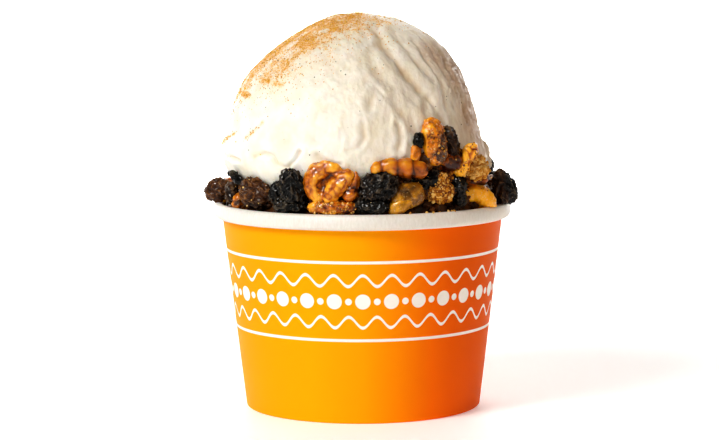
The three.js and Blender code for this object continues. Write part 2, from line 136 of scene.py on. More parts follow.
def direction(azimuth, polar):
    """Unit vectors from angles in degrees."""
    azimuth, polar = np.broadcast_arrays(np.radians(azimuth), np.radians(polar))
    flat = np.sin(polar)
    return np.stack([flat * np.cos(azimuth), flat * np.sin(azimuth), np.cos(polar)], axis=-1)


def round_axis(azimuth, radius, height=0.0):
    """Places round +Z, from angles in radians."""
    places = np.broadcast_arrays(radius * np.cos(azimuth), radius * np.sin(azimuth), height)
    return np.stack(places, axis=-1)


def unit(vectors):
    return vectors / np.linalg.norm(vectors, axis=-1, keepdims=True)


# Meshes


def ring_faces(rows, columns, joined=False, ends=False):
    """Faces of a tube of rows and columns of corners. Joined, its last row meets its first.
    With ends, one more corner closes each end."""
    row, column = np.meshgrid(np.arange(rows if joined else rows - 1), np.arange(columns), indexing="ij")
    below = (row + 1) % rows
    after = (column + 1) % columns
    ways = [(row, column), (below, column), (below, after), (row, after)]
    faces = np.stack([down * columns + along for down, along in ways], axis=-1).reshape(-1, 4).tolist()
    if ends:
        turn = np.arange(columns)
        after = (turn + 1) % columns
        low = (rows - 1) * columns
        faces += np.stack([turn, after, np.full(columns, rows * columns)], axis=1).tolist()
        faces += np.stack([low + after, low + turn, np.full(columns, rows * columns + 1)], axis=1).tolist()
    return faces


def piece(name, corners, faces, finish, replaced=(), marks=None):
    """A mesh of the object, its corners in millimetres. Marks are numbers on them that its finish reads."""
    mesh = bpy.data.meshes.new(name)
    mesh.from_pydata((np.asarray(corners) * MM).tolist(), [], faces)
    mesh.shade_smooth()
    for label, values in (marks or {}).items():
        mark = mesh.attributes.new(label, "FLOAT", "POINT")
        mark.data.foreach_set("value", np.asarray(values, dtype=np.float32))
    mesh.materials.append(finish)
    made = bpy.data.objects.new(name, mesh)
    bpy.context.scene.collection.objects.link(made)
    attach(made, "root")
    if replaced:
        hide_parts(*replaced)


def vectors_of(mesh, what):
    """The place or the normal of each corner."""
    values = np.zeros(len(mesh.vertices) * 3)
    mesh.vertices.foreach_get(what, values)
    return values.reshape(-1, 3)


def faces_of(mesh):
    return [tuple(face.vertices) for face in mesh.polygons]


def tree_of(node):
    """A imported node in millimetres, ready for rays."""
    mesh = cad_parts[node].data
    return BVHTree.FromPolygons((vectors_of(mesh, "co") / MM).tolist(), faces_of(mesh))


def even(work, voxel):
    remesh = work.modifiers.new("even", "REMESH")
    remesh.mode = "VOXEL"
    remesh.voxel_size = voxel * MM


def soften(work, times):
    smooth = work.modifiers.new("soften", "SMOOTH")
    smooth.factor = 0.5
    smooth.iterations = times


def swell(work, amount):
    displace = work.modifiers.new("swell", "DISPLACE")
    displace.mid_level = 0
    displace.strength = amount * MM


def fine_solid(node, voxel, smoothing, web=0.0):
    """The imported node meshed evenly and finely, with its facets smoothed away and its own size kept.
    A web closes gaps narrower than twice as many millimetres."""
    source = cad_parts[node]
    work = bpy.data.objects.new("work", source.data.copy())
    bpy.context.scene.collection.objects.link(work)
    even(work, voxel)
    if web:
        soften(work, 6)
        swell(work, web)
        even(work, voxel)
        swell(work, -web)
    soften(work, smoothing)
    depsgraph = bpy.context.evaluated_depsgraph_get()
    fine = bpy.data.meshes.new_from_object(work.evaluated_get(depsgraph))
    bpy.data.objects.remove(work)
    corners, normals, faces = vectors_of(fine, "co") / MM, unit(vectors_of(fine, "normal")), faces_of(fine)
    bpy.data.meshes.remove(fine)
    low, high = (np.array(corner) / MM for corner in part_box(node))
    middle = (corners.max(0) + corners.min(0)) / 2
    scale = (high - low) / (corners.max(0) - corners.min(0))
    corners = (corners - middle) * scale + (low + high) / 2
    return corners, normals, faces


def proudness(corners, normals, faces, times):
    """How far each corner stands out of the surface round it, in millimetres, and less than 0 in grooves."""
    quads = np.array([face for face in faces if len(face) == 4])
    starts = quads.ravel()
    ends = np.roll(quads, -1, axis=1).ravel()
    first, second = np.concatenate([starts, ends]), np.concatenate([ends, starts])
    share = 1 / np.maximum(np.bincount(first, minlength=len(corners)), 1)
    smooth = corners.copy()
    for _ in range(times):
        smooth = np.stack(
            [np.bincount(first, smooth[second, axis], len(corners)) * share for axis in range(3)], axis=1
        )
    return ((corners - smooth) * normals).sum(1)


def top_below(tree, x, y):
    """Height of the solid's top at a place, or not a number beside the solid."""
    hit = tree.ray_cast(Vector((x, y, 100)), Vector((0, 0, -1)))[0]
    return hit.z if hit else math.nan


# Shader maths


class Number:
    """A shader socket that holds a number, for use in Python expressions."""

    def __init__(self, finish, socket):
        self.finish = finish
        self.socket = socket

    def math(self, operation, *others):
        settings = {"operation": operation}
        return self.finish.number("ShaderNodeMath", settings, dict(enumerate([self, *others])))

    def __add__(self, other):
        return self.math("ADD", other)

    def __mul__(self, other):
        return self.math("MULTIPLY", other)

    def __sub__(self, other):
        return self.math("SUBTRACT", other)

    def __truediv__(self, other):
        return self.math("DIVIDE", other)

    def __pow__(self, other):
        return self.math("POWER", other)

    def __rsub__(self, other):
        return self.finish.number("ShaderNodeMath", {"operation": "SUBTRACT"}, {0: other, 1: self})

    __radd__ = __add__
    __rmul__ = __mul__

    def between(self, low, high):
        """From 0 at low to 1 at high, with a soft start and end."""
        settings = {"interpolation_type": "SMOOTHSTEP"}
        return self.finish.number(
            "ShaderNodeMapRange", settings, {"Value": self, "From Min": low, "From Max": high}
        )

    def line(self, middle, half, soft):
        """1 where the number is within half of the middle, with soft edges."""
        away = (self - middle).math("ABSOLUTE")
        return 1 - away.between(half - soft, half + soft)


class Finish:
    """A material whose nodes are laid out by Python calls."""

    def __init__(self, name, **constants):
        self.material = bpy.data.materials.new(name)
        self.material.use_nodes = True
        self.tree = self.material.node_tree
        self.shader = self.tree.nodes["Principled BSDF"]
        for label, value in constants.items():
            self.socket(label).default_value = value
        self.place = self.node("ShaderNodeTexCoord", {}, {}).outputs["Object"]

    def socket(self, label):
        """The shader's socket that a keyword stands for."""
        return self.shader.inputs[label.replace("_", " ").title().replace("Ior", "IOR")]

    def node(self, kind, settings, inputs):
        """One node: its settings first, then the values or links of its sockets."""
        made = self.tree.nodes.new(kind)
        for label, value in settings.items():
            if label == "stops":
                self.set_stops(made.color_ramp, value)
            else:
                setattr(made, label, value)
        for label, value in inputs.items():
            socket = made.inputs[label]
            source = getattr(value, "socket", value)
            if isinstance(source, bpy.types.NodeSocket):
                self.tree.links.new(source, socket)
            else:
                socket.default_value = source
        return made

    @staticmethod
    def set_stops(ramp, stops):
        ramp.elements.remove(ramp.elements[1])
        ramp.elements[0].position, ramp.elements[0].color = stops[0]
        for position, colour in stops[1:]:
            ramp.elements.new(position).color = colour

    def number(self, kind, settings, inputs):
        return Number(self, self.node(kind, settings, inputs).outputs[0])

    def mark(self, label):
        """A number that the piece's corners carry."""
        made = self.node("ShaderNodeAttribute", {"attribute_name": label}, {})
        return Number(self, made.outputs["Fac"])

    def axes(self):
        """The place on the object in millimetres, as three numbers."""
        split = self.node("ShaderNodeSeparateXYZ", {}, {0: self.place})
        return [Number(self, output) / MM for output in split.outputs]

    def noise(self, lump, detail=3.0, roughness=0.5, distortion=0.0, vector=None):
        """Noise from 0 to 1 with lumps of about that many millimetres."""
        inputs = {
            "Vector": vector or self.place,
            "Scale": 1 / (lump * MM),
            "Detail": detail,
            "Roughness": roughness,
            "Distortion": distortion,
        }
        return self.number("ShaderNodeTexNoise", {}, inputs)

    def stretched(self, across, up):
        """The place, squeezed so that noise on it is drawn out along one way."""
        inputs = {0: self.place, 1: (across, across, up)}
        return self.node("ShaderNodeVectorMath", {"operation": "MULTIPLY"}, inputs).outputs[0]

    def blend(self, share, first, second):
        """A colour between two colours."""
        return self.node("ShaderNodeMix", {"data_type": "RGBA"}, {0: share, 6: first, 7: second}).outputs[2]

    def ramp(self, share, *stops):
        """A colour along stops, each a position and the colour's screen values there."""
        toned = [(position, tone(*colour)) for position, colour in stops]
        return self.node("ShaderNodeValToRGB", {"stops": toned}, {"Fac": share}).outputs["Color"]

    def bump(self, height, depth, under=None):
        """A normal with a relief of that many millimetres."""
        inputs = {"Height": height, "Distance": depth * MM, "Strength": 1.0}
        if under is not None:
            inputs["Normal"] = under
        return self.node("ShaderNodeBump", {}, inputs).outputs["Normal"]

    def done(self, **links):
        """Links what varies over the surface and gives the material."""
        for label, value in links.items():
            self.tree.links.new(getattr(value, "socket", value), self.socket(label))
        return self.material


def tone(red, green, blue):
    """A colour from its 0 to 255 screen values."""
    share = np.array([red, green, blue]) / 255
    linear = np.where(share <= 0.04045, share / 12.92, ((share + 0.055) / 1.055) ** 2.4)
    return (*linear.tolist(), 1.0)


# Finishes


def printed_paper():
    """Orange print that turns redder to the right and darker there as painted shade, with a generic white
    band of rings, waves and dots.
    """
    finish = Finish("printed_paper", specular_ior_level=0.05)
    x, y, z = finish.axes()
    grain = finish.noise(0.5, detail=2)
    # Printed hue from left to right, with painted shade darkening the right-hand side.
    print_and_shade_colour = finish.ramp(
        x / 80 + 0.5,
        (0.05, (255, 164, 0)),
        (0.30, (255, 172, 0)),
        (0.50, (255, 166, 0)),
        (0.63, (255, 148, 0)),
        (0.70, (255, 134, 0)),
        (0.77, (255, 118, 0)),
        (0.84, (244, 106, 0)),
        (0.92, (234, 98, 0)),
    )
    motifs = 30
    wall = 42.0
    apart = 2 * math.pi * wall / motifs
    turns = y.math("ARCTAN2", x) / (2 * math.pi)
    share = (turns * motifs + motifs).math("FRACT") - 0.5
    across = share * apart
    wave = (share * (2 * math.pi)).math("COSINE")
    rings = z.line(51.0, 0.45, 0.1) + z.line(26.6, 0.45, 0.1)
    waves = (z - wave * 1.7).line(45.3, 0.5, 0.12) + (z + wave * 1.7).line(32.3, 0.5, 0.12)
    high = z - 38.8
    large = 1 - (across * across + high * high).math("SQRT").between(2.25, 2.45)
    beside = across.math("ABSOLUTE") - apart / 2
    small = 1 - (beside * beside + high * high).math("SQRT").between(0.95, 1.15)
    white = (rings + waves + large + small).math("MINIMUM", 1.0)
    colour = finish.blend(white, print_and_shade_colour, tone(252, 250, 244))
    mottled = finish.blend(grain * 0.04, colour, tone(200, 110, 10))
    relief = finish.bump(finish.noise(0.35, detail=2), 0.012)
    return finish.done(base_color=mottled, normal=relief, roughness=0.42 + grain * 0.14)


def plain_paper():
    """White paper board with a faint fibre and a soft sheen."""
    finish = Finish("plain_paper", subsurface_weight=0.15, subsurface_scale=0.6 * MM)
    fibre = finish.noise(0.6, detail=4, roughness=0.6, vector=finish.stretched(1.0, 0.35))
    colour = finish.ramp(fibre, (0.3, (226, 222, 213)), (0.7, (238, 235, 228)))
    relief = finish.bump(fibre, 0.01)
    return finish.done(base_color=colour, normal=relief, roughness=0.45 + fibre * 0.12)


def ice_cream():
    """Vanilla ice cream: painted shade in its furrows and on its melting right-hand side, wet and tan where
    torn with the tan partly painted shade, pale painted glints in streaks there, and cinnamon stains.
    """
    finish = Finish(
        "ice_cream",
        ior=1.36,
        subsurface_weight=0.25,
        subsurface_radius=(1.0, 0.7, 0.4),
        subsurface_scale=0.9 * MM,
        specular_ior_level=0.3,
        coat_roughness=0.09,
        coat_ior=1.36,
    )
    dust = finish.mark("dust")
    torn = finish.mark("torn")
    crest = finish.mark("crest")
    melt = finish.mark("melt")
    soft = finish.noise(7.0, detail=3)
    body = finish.ramp(soft, (0.3, (241, 236, 218)), (0.7, (248, 247, 240)))
    # Painted shade: darker and creamier in the furrows and creases, more so where the scoop is melting.
    crease_shade = (crest * -1.0).between(-0.1, 1.0) * (0.45 + melt * 0.35)
    crease_shaded = finish.blend(crease_shade, body, tone(212, 186, 146))
    streak = finish.noise(1.3, detail=3, roughness=0.6, vector=finish.stretched(1.0, 0.28))
    # Painted shade: the melting patches, mostly on the right-hand side, darken to a tan with darker streaks.
    softened = finish.blend(melt * (0.4 + soft * 0.6) * 0.72, crease_shaded, tone(203, 177, 138))
    streaked_shade = finish.blend(melt * streak.between(0.4, 0.62) * 0.3, softened, tone(182, 152, 130))
    # Wet and tan where torn; the tan is partly painted shade.
    wet = (torn * (0.5 + soft)).between(0.02, 0.6)
    torn_tint_and_shade = finish.blend(wet * (0.95 - streak * 0.5), streaked_shade, tone(200, 168, 142))
    lit_streak = (streak * (0.4 + wet * 0.6)).between(0.5, 0.66)
    # Painted highlights: pale glints in streaks on the wet torn skin.
    painted_glints = finish.blend(lit_streak * wet * 0.7, torn_tint_and_shade, tone(238, 226, 216))
    grain = finish.noise(0.55, detail=4, roughness=0.65)
    patch = finish.noise(2.0, detail=5, roughness=0.65, distortion=0.6)
    soaked = (dust * 1.3 - (1 - patch) * 1.3).between(-0.12, 0.5)
    haze = dust.between(0.0, 0.5) * 0.16
    darkened = finish.blend(soaked * 0.46 + haze, painted_glints, tone(248, 190, 70))
    speck = finish.noise(0.55, detail=4, roughness=0.7)
    dotted = (dust * 0.35 + patch * 0.5 + speck - 0.99).between(0.0, 0.12)
    colour = finish.blend(dotted * 0.85, darkened, tone(226, 150, 22))
    brushed = finish.noise(1.1, detail=3, roughness=0.55, vector=finish.stretched(1.0, 0.34))
    drawn = finish.bump(brushed * (0.3 + melt * 0.7), 0.28)
    fine = finish.bump(finish.noise(0.8, detail=4, roughness=0.6) * (1 + wet * 3), 0.1, under=drawn)
    relief = finish.bump(grain, 0.03, under=fine)
    rough = 0.34 + grain * 0.2
    return finish.done(base_color=colour, normal=relief, roughness=rough, coat_weight=wet * lit_streak * 0.8)


def glaze(name, deep, body, bright, lump, pale=0.0, **constants):
    """Sugar glaze over fruit or nut: dark in the creases as painted shade, bright on the crests as painted
    light.
    """
    gloss = {"specular_ior_level": 0.15, "coat_weight": 0.9, "coat_roughness": 0.04, "coat_ior": 1.4}
    finish = Finish(name, **gloss, **constants)
    crest = finish.mark("crest")
    patch = finish.noise(lump, detail=3, roughness=0.55)
    grain = finish.noise(0.45, detail=3, roughness=0.6)
    # Painted light and shade: lighter on the crests, darker in the creases.
    lit = crest * 0.95 + patch * 0.5 - 0.27 + finish.mark("shift")
    colour = finish.ramp(lit, (0.1, deep), (0.5, body), (0.92, bright))
    if pale:
        specks = (grain + patch * 0.3 - 0.74).between(0.0, 0.08) * pale
        colour = finish.blend(specks, colour, tone(246, 214, 160))
    pitted = finish.bump(finish.noise(1.6, detail=2, roughness=0.5), 0.3)
    relief = finish.bump(grain, 0.035, under=pitted)
    return finish.done(base_color=colour, normal=relief, roughness=0.26 + grain * 0.2)


def raisin_skin():
    """Dark wrinkled skin, lighter on its ridges as painted highlight and near black in its creases as painted
    shade, with a faint bloom, partly painted sheen, on its ridges.
    """
    gloss = {"specular_ior_level": 0.04, "coat_weight": 0.55, "coat_roughness": 0.05, "coat_ior": 1.4}
    finish = Finish("raisin_skin", **gloss)
    crest = finish.mark("crest")
    grain = finish.noise(0.4, detail=3, roughness=0.6)
    warm = (finish.mark("shift") + (finish.noise(3.0) - 0.5) * 0.5).between(0.0, 1.0)
    # Painted light and shade: ridges lighter, creases near black.
    dark = finish.ramp(crest, (0.3, (2, 2, 1)), (0.62, (10, 8, 6)), (0.92, (66, 57, 45)))
    lit = crest * 0.5 + grain * 0.7 - 0.12
    amber = finish.ramp(lit, (0.1, (34, 16, 7)), (0.55, (88, 50, 20)), (0.92, (172, 118, 58)))
    colour = finish.blend(warm, dark, amber)
    # A faint bloom, partly painted sheen: a grey-green tint on the ridges.
    bloom_and_sheen = (grain * 0.6 + crest * 0.5 - 0.7).between(0.0, 0.3) * 0.08
    colour = finish.blend(bloom_and_sheen, colour, tone(116, 118, 108))
    relief = finish.bump(finish.noise(1.6, detail=1), 0.1)
    return finish.done(base_color=colour, normal=relief, roughness=0.45 + grain * 0.3)


def toasted_crumb():
    """Baked crumbs from straw to brown, each its own shade, which on the crumble pieces also holds painted
    light and shade.
    """
    finish = Finish("toasted_crumb", specular_ior_level=0.15, coat_weight=0.2, coat_roughness=0.1)
    shade = finish.mark("shade")
    grain = finish.noise(0.3, detail=3, roughness=0.6)
    mixed = shade * 0.8 + grain * 0.35 - 0.08
    colour = finish.ramp(
        mixed,
        (0.0, (44, 20, 4)),
        (0.35, (132, 72, 8)),
        (0.62, (204, 136, 30)),
        (0.95, (244, 208, 128)),
    )
    relief = finish.bump(grain, 0.06)
    return finish.done(base_color=colour, normal=relief, roughness=0.4 + grain * 0.4)


def dark_syrup():
    """Cobbler bound in dark syrup, wet and uneven."""
    gloss = {"specular_ior_level": 0.15, "coat_weight": 0.28, "coat_roughness": 0.06, "coat_ior": 1.36}
    finish = Finish("dark_syrup", **gloss)
    crest = finish.mark("crest")
    patch = finish.noise(3.2, detail=4, roughness=0.6)
    grain = finish.noise(0.6, detail=4, roughness=0.65)
    # Lighter on the filling's lumps and darker between them as painted light and shade; on the bits a random
    # tone.
    colour = finish.ramp(
        crest * 0.5 + patch * 0.6 + finish.mark("shade") ** 3 * 0.5 - 0.25,
        (0.15, (38, 21, 8)),
        (0.5, (90, 53, 19)),
        (0.75, (122, 72, 24)),
        (0.95, (184, 126, 58)),
    )
    relief = finish.bump(grain, 0.12)
    return finish.done(base_color=colour, normal=relief, roughness=0.18 + grain * 0.3)


def cinnamon():
    """Cinnamon grains, from tan to brown."""
    finish = Finish("cinnamon")
    shade = finish.mark("shade")
    grain = finish.noise(0.2, detail=2)
    mixed = shade * 0.8 + grain * 0.2
    colour = finish.ramp(mixed, (0.1, (188, 134, 36)), (0.5, (228, 162, 32)), (0.9, (248, 206, 86)))
    return finish.done(base_color=colour, roughness=0.7 + grain * 0.25)


def vanilla_seed():
    finish = Finish("vanilla_seed", roughness=0.6)
    grain = finish.noise(0.2, detail=2)
    colour = finish.ramp(grain, (0.3, (58, 52, 40)), (0.7, (112, 102, 80)))
    return finish.done(base_color=colour)


def pale_floor():
    finish = Finish("pale_floor", roughness=0.6, emission_color=(1.0, 1.0, 1.0, 1.0), emission_strength=0.2)
    cloud = finish.noise(400.0, detail=1)
    colour = finish.ramp(cloud, (0.0, (250, 250, 249)), (1.0, (253, 253, 252)))
    return finish.done(base_color=colour)


# Paper tub


def wall_radius(height):
    return FOOT_RADIUS + (WALL_TOP_RADIUS - FOOT_RADIUS) * height / (CUP_HEIGHT - ROLL_HEIGHT)


def arc(middle, half_width, half_height, start, end, steps):
    turn = np.radians(np.linspace(start, end, steps))
    return np.stack([middle[0] + half_width * np.cos(turn), middle[1] + half_height * np.sin(turn)], axis=1)


def straight(start, end, steps):
    return np.linspace(start, end, steps + 2)[1:-1]


def revolved(profile):
    """Rows of corners round +Z. The seam's azimuth lies on a column."""
    azimuth = np.radians(SEAM_AZIMUTH) + np.linspace(0, 2 * np.pi, CUP_COLUMNS, endpoint=False)
    return round_axis(azimuth, profile[:, :1], profile[:, 1:]), azimuth


def along_seam(azimuth, radius):
    """How far round from the seam's middle, in millimetres."""
    return np.angle(np.exp(1j * (azimuth - np.radians(SEAM_AZIMUTH)))) * radius


def tub_wall(finish):
    """Printed wall from its folded foot up into the roll. One edge of the seam stands proud."""
    top = CUP_HEIGHT - ROLL_HEIGHT + 1.2
    low = 6.0
    mouth, inner_mouth = (wall_radius(top), top), (wall_radius(top) - PAPER * 0.8, top)
    inner_foot = (wall_radius(low) - PAPER * 0.8, low)
    rounded = arc((FOOT_RADIUS - FOOT_ROUNDING, FOOT_ROUNDING), FOOT_ROUNDING, FOOT_ROUNDING, -90, 0, 9)
    foot = [(FOOT_RADIUS - FOOT_FOLD, 0.02), *rounded]
    outer = straight((FOOT_RADIUS, FOOT_ROUNDING), mouth, 60)
    inner = straight(inner_mouth, inner_foot, 6)
    fold = [(wall_radius(low) - FOOT_FOLD, low - 0.3)]
    profile = np.concatenate([foot, outer, [mouth, inner_mouth], inner, fold])
    corners, azimuth = revolved(profile)
    radius = np.hypot(corners[..., 0], corners[..., 1])
    height = corners[..., 2]
    is_outer = np.zeros(len(profile))
    is_outer[len(foot) : len(foot) + len(outer)] = 1
    away = along_seam(azimuth[None, :], radius)
    edge = -SEAM_WIDTH / 2
    lap = smoothstep(away, edge - 0.2, edge + 0.1) * (1 - smoothstep(away, 1.0, SEAM_WIDTH))
    dent = noise(round_axis(azimuth, 2), 3) * 0.12 * np.sin(np.pi * np.clip(height / CUP_HEIGHT, 0, 1))
    change = is_outer[:, None] * (0.34 * lap) + dent
    corners[..., :2] *= ((radius + change) / radius)[..., None]
    faces = ring_faces(len(profile), CUP_COLUMNS, joined=True)
    piece("tub_wall", corners.reshape(-1, 3), faces, finish, ["cup_wall"])


def tub_rim(finish):
    """Rolled rim of bare paper and the white inside of the wall, with the seam's bump across the roll."""
    middle = (RIM_RADIUS - ROLL_WIDTH / 2, CUP_HEIGHT - ROLL_HEIGHT / 2)
    roll = arc(middle, ROLL_WIDTH / 2, ROLL_HEIGHT / 2, -150, 180, 44)
    square = np.sign(roll - middle) * np.abs((roll - middle) / (ROLL_WIDTH / 2, ROLL_HEIGHT / 2)) ** 0.86
    roll = middle + square * (ROLL_WIDTH / 2, ROLL_HEIGHT / 2)
    low, high = 40.0, 58.0
    band = [(1.0, high), (1.0, low), (0.85, low), (0.85, high)]
    lining = [(wall_radius(height) - PAPER * depth, height) for depth, height in band]
    profile = np.concatenate([roll, lining])
    corners, azimuth = revolved(profile)
    around = round_axis(azimuth, 9)
    ripple = noise(around, 5) * 0.05 + noise(around * 3, 6) * 0.025
    ripple += 0.25 * bell(along_seam(azimuth, RIM_RADIUS), SEAM_WIDTH / 2)
    from_middle = corners[: len(roll), :, :2]
    outward = from_middle / np.linalg.norm(from_middle, axis=-1, keepdims=True)
    side = (roll[:, 0] - middle[0]) / (ROLL_WIDTH / 2)
    corners[: len(roll), :, :2] += outward * (side[:, None] * (ripple[None, :] - 0.28))[..., None]
    faces = ring_faces(len(profile), CUP_COLUMNS, joined=True)
    piece("tub_rim", corners.reshape(-1, 3), faces, finish, ["cup_wall"])


# Scoop of ice cream

# Furrows that the scoop's edge dragged: azimuth and polar angle along each, half width and depth in mm.
FURROWS = [
    ([(-66, 28), (-67, 36), (-66, 43), (-62, 51), (-58, 58), (-55, 64), (-55, 69)], 1.7, 1.15),
    ([(-73, 36), (-80, 43), (-79, 50), (-75, 56), (-70, 62)], 1.5, 0.55),
    ([(-52, 29), (-53, 38), (-53, 44), (-50, 50), (-46, 57)], 1.5, 0.7),
    ([(-52, 66), (-50, 72), (-48, 77)], 1.1, 0.9),
    ([(-73, 63), (-69, 69), (-65, 74), (-64, 79)], 1.4, 0.55),
    ([(-83, 70), (-82, 65), (-79, 61), (-76, 63)], 0.9, 0.5),
    ([(-86, 76), (-86, 82), (-89, 86), (-93, 87)], 0.8, 0.6),
    ([(-70, 77), (-69, 82), (-71, 86)], 0.9, 0.8),
    ([(-178, 90), (-165, 91), (-153, 92), (-145, 92)], 0.6, 1.1),
    ([(-136, 90), (-131, 89), (-126, 90), (-122, 93), (-118, 94), (-115, 92), (-113, 88)], 0.55, 1.1),
    ([(-105, 89), (-102, 92), (-96, 93)], 0.7, 0.6),
    ([(-40, 36), (-42, 50), (-41, 60), (-44, 71)], 1.0, 0.6),
    ([(-11, 34), (-20, 43), (-28, 52), (-28, 64), (-31, 77)], 0.9, 0.8),
    ([(-24, 30), (-32, 46), (-35, 60)], 0.8, 0.5),
    ([(20, 24), (30, 42), (33, 60), (28, 80)], 1.4, 1.0),
    ([(48, 40), (54, 66)], 1.1, 0.6),
    ([(66, 26), (76, 44), (84, 62), (82, 84)], 1.3, 1.1),
    ([(98, 50), (104, 78)], 1.1, 0.6),
    ([(112, 30), (124, 50), (128, 66), (122, 88)], 1.3, 1.1),
    ([(146, 54), (152, 80)], 1.0, 0.6),
    ([(160, 90), (176, 93)], 0.9, 0.8),
    ([(8, 90), (30, 94), (52, 92)], 1.0, 1.0),
    ([(90, 94), (118, 92), (140, 95)], 1.0, 1.0),
]

# Where the skin is torn and icy, its tan tint partly painted shade on the right-hand side: azimuth, polar
# angle, spread in degrees and depth in mm.
TORN_SKIN = [
    (-28, 48, 12, 0.5),
    (-16, 60, 17, 0.6),
    (-20, 78, 16, 0.6),
    (-4, 92, 7, 0.5),
    (30, 56, 15, 0.35),
    (118, 72, 14, 0.3),
]

# A torn flap of skin that stands up beside the nuts: azimuth and polar angle along it, then its half width
# and height in mm.
FLAP = ([(-13, 89), (-8, 90), (-6, 94), (-9, 98)], 1.4, 1.8)

# Where the scoop is melting and darkened as painted shade, mostly on its right: azimuth, polar angle, spread
# in degrees and strength.
MELT_AND_SHADE = [
    (-64, 64, 28, 0.6),
    (-16, 56, 22, 1.5),
    (-20, 80, 22, 1.5),
    (0, 64, 20, 1.5),
    (70, 70, 30, 0.4),
    (150, 66, 26, 0.3),
]

# Cinnamon: azimuth and polar angle of each patch, spread in degrees and strength.
DUST_PATCHES = [
    (-170, 24, 34, 1.0),
    (-112, 17, 19, 0.95),
    (-128, 34, 15, 0.95),
    (-84, 10, 16, 0.75),
    (-60, 17, 12, 0.6),
    (150, 14, 30, 0.95),
    (-138, 49, 16, 0.75),
    (-165, 50, 19, 0.8),
    (-114, 40, 13, 0.45),
    (60, 12, 20, 0.8),
]
DUST_STREAKS = [
    ([(-161, 55), (-145, 57), (-128, 59)], 1.6, 0.9),
    ([(-168, 63), (-158, 64), (-149, 65)], 1.5, 0.8),
    ([(-178, 88), (-164, 85), (-152, 82)], 0.9, 0.8),
    ([(-142, 83), (-134, 76)], 0.8, 0.7),
    ([(170, 60), (152, 57)], 1.8, 0.6),
]


def distance_to_route(ways, route):
    """How far each direction passes from a route, in millimetres on the scoop."""
    stops = direction(*np.array(route, dtype=float).T)
    least = np.full(ways.shape[:-1], np.inf)
    for start, end in zip(stops[:-1], stops[1:]):
        leg = end - start
        share = np.clip(((ways - start) @ leg) / (leg @ leg), 0, 1)
        nearest = start + share[..., None] * leg
        least = np.minimum(least, np.linalg.norm(ways - nearest, axis=-1))
    return least * SCOOP_RADIUS


def angle_from(ways, azimuth, polar):
    return np.degrees(np.arccos(np.clip(ways @ direction(azimuth, polar), -1, 1)))


def dust_on(ways):
    """How thickly cinnamon lies along each direction, from 0 to 1."""
    dust = np.zeros(ways.shape[:-1])
    for azimuth, polar, spread, strength in DUST_PATCHES:
        dust = np.maximum(dust, strength * bell(angle_from(ways, azimuth, polar), spread))
    for route, half, strength in DUST_STREAKS:
        dust = np.maximum(dust, strength * bell(distance_to_route(ways, route), half))
    cloud = layered(ways.reshape(-1, 3) * 9, 31).reshape(dust.shape)
    return np.clip(dust * (1 + 0.4 * cloud), 0, 1)


def blurred(values, around, along):
    """Repeated three-point averages: around wraps, along stops at the ends."""
    for _ in range(around):
        values = values * 0.5 + (np.roll(values, 1, axis=1) + np.roll(values, -1, axis=1)) * 0.25
    for _ in range(along):
        padded = np.pad(values, ((1, 1), (0, 0)), mode="edge")
        values = values * 0.5 + (padded[:-2] + padded[2:]) * 0.25
    return values


def scoop_ways():
    """Directions from the scoop's centre, in rows from the crown down, crowded towards the shown side."""
    turn = np.linspace(-np.pi, np.pi, SCOOP_COLUMNS, endpoint=False)
    azimuth = np.degrees(turn - FRONT_CROWDING * np.sin(turn + np.pi / 2))
    hidden = np.linspace(120, 179, 14)
    polar = np.append(np.linspace(0.5, 116, SCOOP_ROWS - len(hidden)), hidden)
    return direction(azimuth[None, :], polar[:, None])


def melt_and_shade_on(ways):
    """How far the skin along each direction is melting and darkened as painted shade, from 0 to 1."""
    patches = [strength * bell(angle_from(ways, *place), spread) for *place, spread, strength in MELT_AND_SHADE]
    return np.clip(np.max(patches, axis=0), 0, 1)


def torn_on(ways):
    """How torn the skin is along each direction, in millimetres of relief."""
    torn = np.zeros(ways.shape[:-1])
    for azimuth, polar, spread, depth in TORN_SKIN:
        torn = np.maximum(torn, depth * bell(angle_from(ways, azimuth, polar), spread))
    ragged = layered(ways.reshape(-1, 3) * 8, 27).reshape(torn.shape)
    return np.clip(torn + 0.35 * ragged * torn, 0, None)


